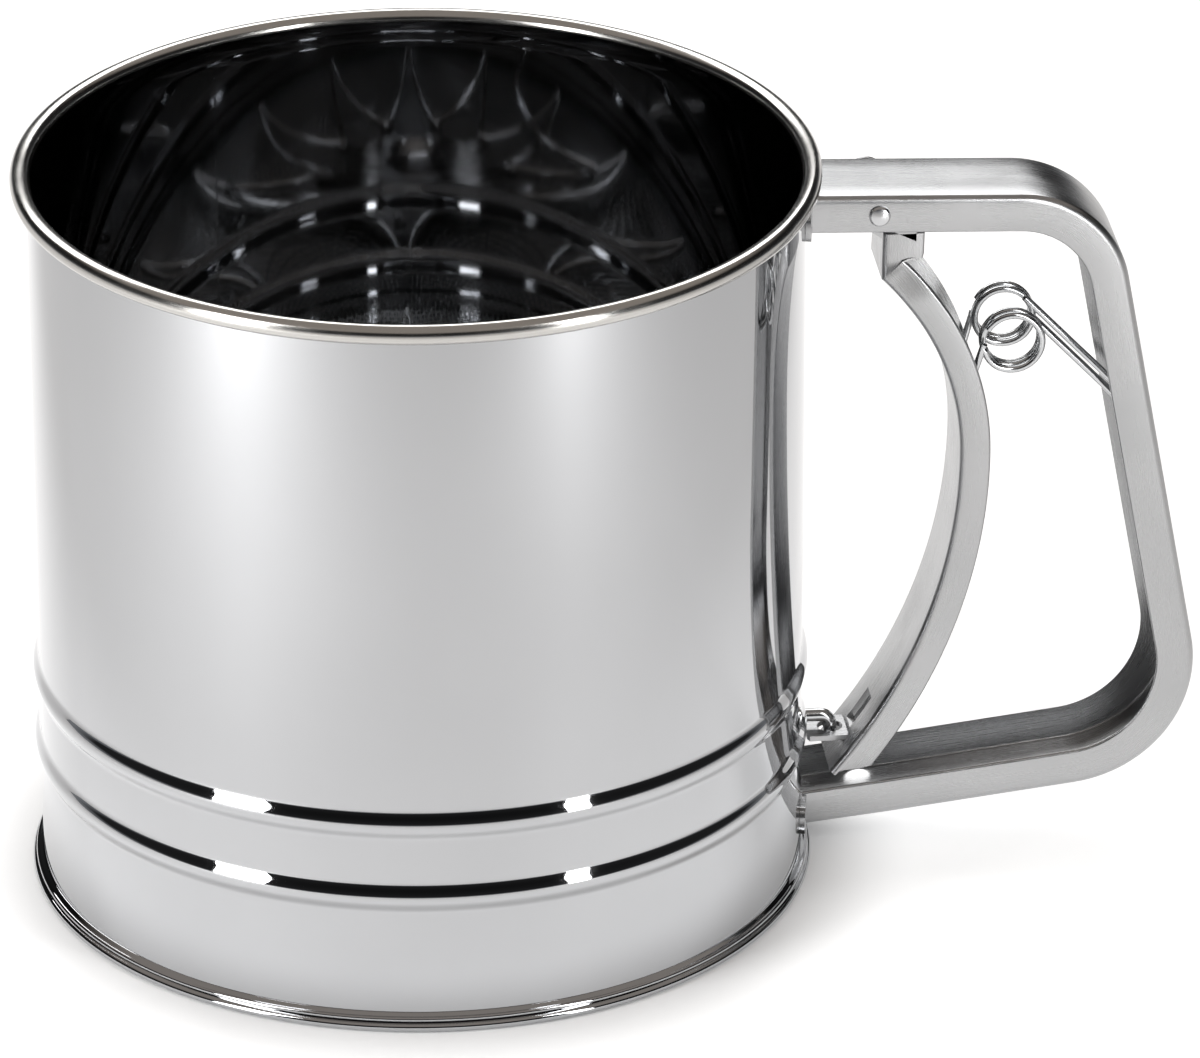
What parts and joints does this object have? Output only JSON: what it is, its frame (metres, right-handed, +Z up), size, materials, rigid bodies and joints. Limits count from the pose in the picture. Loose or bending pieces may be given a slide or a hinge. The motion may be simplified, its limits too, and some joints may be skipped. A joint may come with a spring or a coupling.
{
  "type": "flour sifter",
  "caption": "Steel hand sifter: beaded round drum with a mesh floor, swinging wire agitator, channel handle and sprung squeeze trigger.",
  "frame": {"origin": "on the drum's axis, in the plane of the foot ring's underside", "axes": "+Z up along the drum's axis, +X from the drum towards the handle, +Y by the right-hand rule"},
  "size_m": [0.1536, 0.104, 0.0989],
  "materials": {
    "polished_sheet": "mirror-polished stainless sheet",
    "satin_strip": "satin, brushed along the strip",
    "bright_wire": "bright drawn wire",
    "mesh_wire": "fine woven wire",
    "small_hardware": "bright turned steel"
  },
  "bodies": {
    "shell": {"drum_wall": "polished_sheet", "foot_ring": "polished_sheet", "screen_hoop": "polished_sheet", "screen_mesh": "mesh_wire", "support_bar": "satin_strip", "spacer_washer": "small_hardware", "pivot_rivet": "small_hardware", "thrust_washer": "small_hardware", "retaining_washer": "small_hardware", "retaining_cap": "small_hardware", "handle": "satin_strip", "trigger_pin": "small_hardware"},
    "agitator": {"agitator_hub": "satin_strip", "agitator_wire": "bright_wire"},
    "link": {"drive_link": "bright_wire"},
    "trigger": {"trigger": "satin_strip"},
    "spring_rear": {"return_spring_rear": "bright_wire"},
    "spring_front": {"return_spring_leg_near": "bright_wire", "return_spring_leg_far": "bright_wire"}
  },
  "joints": [
    {"name": "trigger_squeeze", "type": "hinge", "parent": "shell", "child": "trigger", "pos_m": [0.059, 0, 0.0912], "axis": [0, -1, 0], "range_deg": [0, 10], "stiffness_Nm_per_rad": 0.6, "springref_deg": -17.19},
    {"name": "agitator_swing", "type": "hinge", "parent": "shell", "child": "agitator", "pos_m": [0, 0, 0.0133], "axis": [0, 0, 1], "range_deg": [0, 27.9]},
    {"name": "link_swivel", "type": "hinge", "parent": "agitator", "child": "link", "pos_m": [0, -0.026, 0.0133], "axis": [0, 0, 1], "range_deg": [-30.6, 0]},
    {"name": "spring_anchor", "type": "hinge", "parent": "shell", "child": "spring_rear", "pos_m": [0.0941, 0, 0.059], "axis": [0, -1, 0], "range_deg": [-12.6, 0]},
    {"name": "spring_coil", "type": "hinge", "parent": "spring_rear", "child": "spring_front", "pos_m": [0.0769, 0, 0.0717], "axis": [0, -1, 0], "range_deg": [0, 23.8]}
  ],
  "couplings": [
    {"joint": "agitator_swing", "follows": "trigger_squeeze", "ratio": 2.759},
    {"joint": "link_swivel", "follows": "trigger_squeeze", "ratio": -3.019},
    {"joint": "spring_anchor", "follows": "trigger_squeeze", "ratio": -1.228},
    {"joint": "spring_coil", "follows": "trigger_squeeze", "ratio": 2.347}
  ]
}
